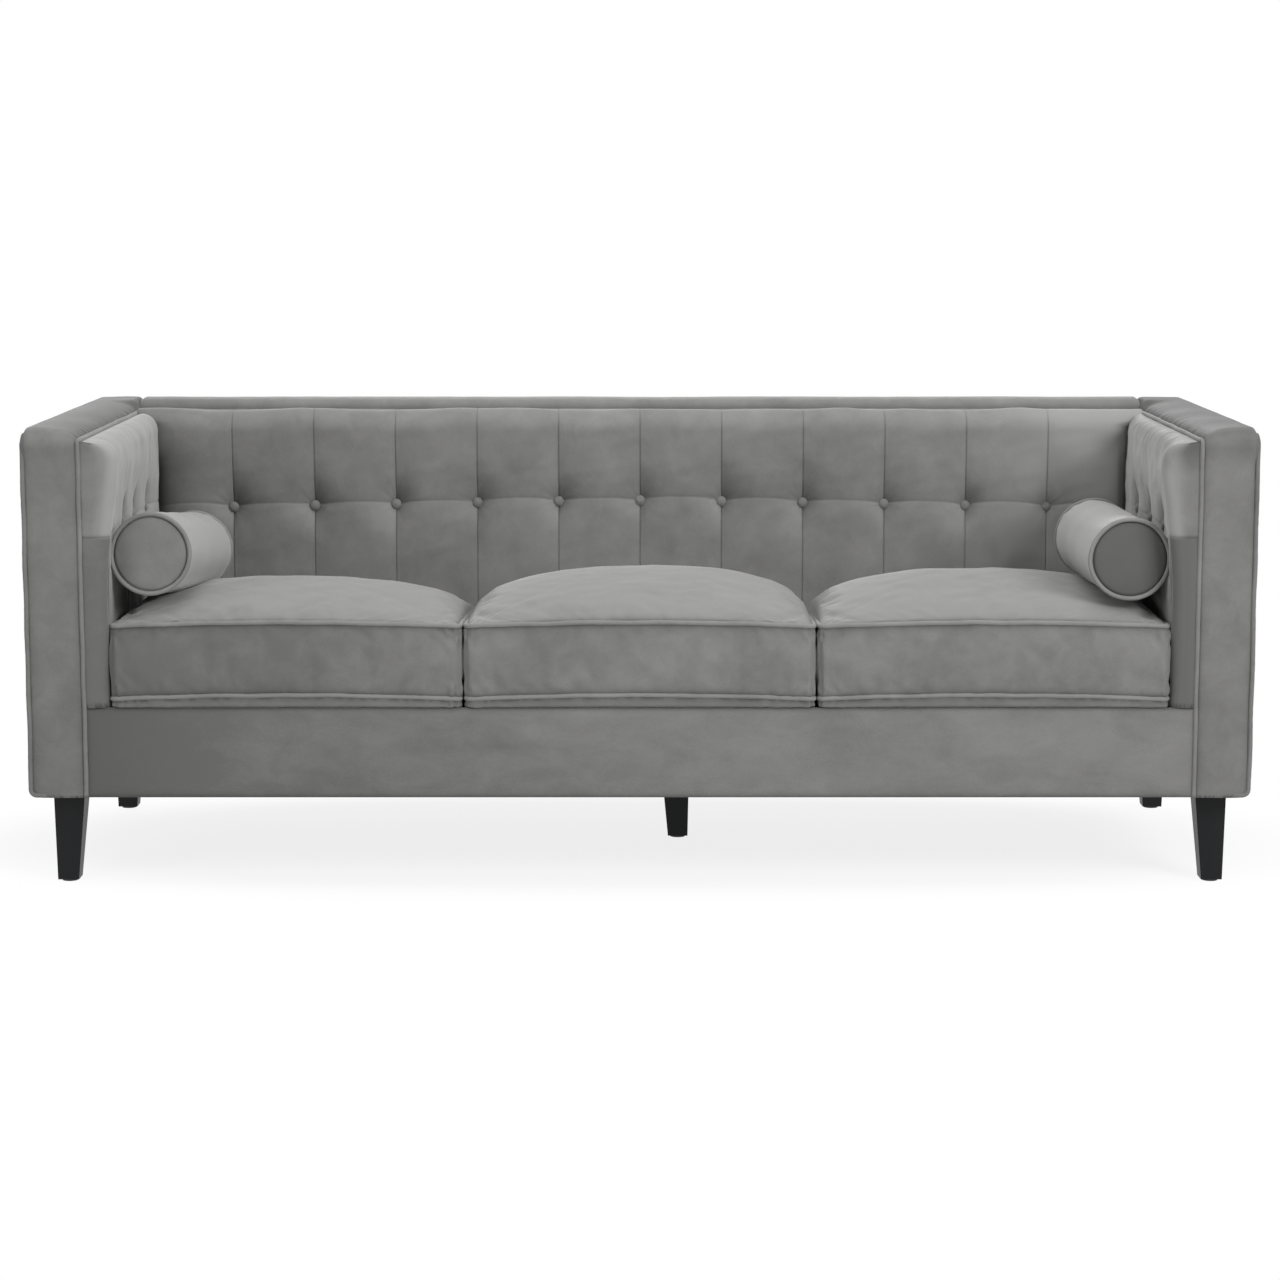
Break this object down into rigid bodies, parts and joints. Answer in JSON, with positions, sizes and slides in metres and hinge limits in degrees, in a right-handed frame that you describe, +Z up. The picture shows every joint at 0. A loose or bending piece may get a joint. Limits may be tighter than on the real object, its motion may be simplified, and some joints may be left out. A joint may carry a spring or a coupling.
{
  "type": "tufted sofa",
  "caption": "Velvet sofa with slim square arms as high as the back, button-tufted pads, loose boxed seat cushions, round bolsters and tapered legs.",
  "frame": {"origin": "on the floor, under the middle of the sofa's overall width and depth", "axes": "+X to the right seen from the front, along the seat; +Y from the front to the rear; +Z up"},
  "size_m": [2.13, 0.805, 0.803],
  "materials": {
    "frame_wood": "sawn",
    "leg_wood": "satin black lacquer",
    "velvet": "cut pile velvet, mid grey",
    "foam": "cut foam",
    "lining_cloth": "thin black cloth",
    "webbing": "woven webbing",
    "spring_steel": "drawn wire",
    "zinc_steel": "zinc plated",
    "glide_nylon": "moulded"
  },
  "bodies": {
    "sofa_frame": {"arm_tack_rails": "frame_wood", "back_foam_slab": "foam", "back_tack_rail": "frame_wood", "back_top_band": "velvet", "back_top_rail": "frame_wood", "back_tufted_cover": "velvet", "back_uprights": "frame_wood", "button_ties": "webbing", "centre_cross_rail": "frame_wood", "centre_leg": "leg_wood", "deck_cloth": "lining_cloth", "deck_pad": "foam", "dust_cover": "lining_cloth", "foot_glides": "glide_nylon", "front_left_leg": "leg_wood", "front_rail_cover": "velvet", "front_right_leg": "leg_wood", "front_seat_rail": "frame_wood", "inner_piping": "velvet", "left_arm_foam_slab": "foam", "left_arm_front_panel": "velvet", "left_arm_post": "frame_wood", "left_arm_top_band": "velvet", "left_arm_top_rail": "frame_wood", "left_arm_tufted_cover": "velvet", "left_back_post": "frame_wood", "left_outside_arm_panel": "velvet", "left_seat_rail": "frame_wood", "leg_blocks": "frame_wood", "leg_bolts": "zinc_steel", "outer_piping": "velvet", "outside_back_panel": "velvet", "pad_webbing": "webbing", "rear_left_leg": "leg_wood", "rear_right_leg": "leg_wood", "rear_seat_rail": "frame_wood", "right_arm_foam_slab": "foam", "right_arm_front_panel": "velvet", "right_arm_post": "frame_wood", "right_arm_top_band": "velvet", "right_arm_top_rail": "frame_wood", "right_arm_tufted_cover": "velvet", "right_back_post": "frame_wood", "right_outside_arm_panel": "velvet", "right_seat_rail": "frame_wood", "seat_springs": "spring_steel", "spring_clips": "zinc_steel", "tee_nuts": "zinc_steel", "tufting_buttons": "velvet"},
    "left_cushion": {"left_cushion_cover": "velvet", "left_cushion_core": "foam"},
    "centre_cushion": {"centre_cushion_cover": "velvet", "centre_cushion_core": "foam"},
    "right_cushion": {"right_cushion_cover": "velvet", "right_cushion_core": "foam"},
    "left_bolster": {"left_bolster_cover": "velvet", "left_bolster_fill": "foam"},
    "right_bolster": {"right_bolster_cover": "velvet", "right_bolster_fill": "foam"}
  },
  "joints": [
    {"name": "left_cushion_lift", "type": "slide", "parent": "sofa_frame", "child": "left_cushion", "axis": [0, 0, 1], "range_m": [0, 0.3]},
    {"name": "centre_cushion_lift", "type": "slide", "parent": "sofa_frame", "child": "centre_cushion", "axis": [0, 0, 1], "range_m": [0, 0.3]},
    {"name": "right_cushion_lift", "type": "slide", "parent": "sofa_frame", "child": "right_cushion", "axis": [0, 0, 1], "range_m": [0, 0.3]},
    {"name": "left_bolster_lift", "type": "slide", "parent": "left_cushion", "child": "left_bolster", "axis": [0, 0, 1], "range_m": [0, 0.25]},
    {"name": "right_bolster_lift", "type": "slide", "parent": "right_cushion", "child": "right_bolster", "axis": [0, 0, 1], "range_m": [0, 0.25]}
  ]
}
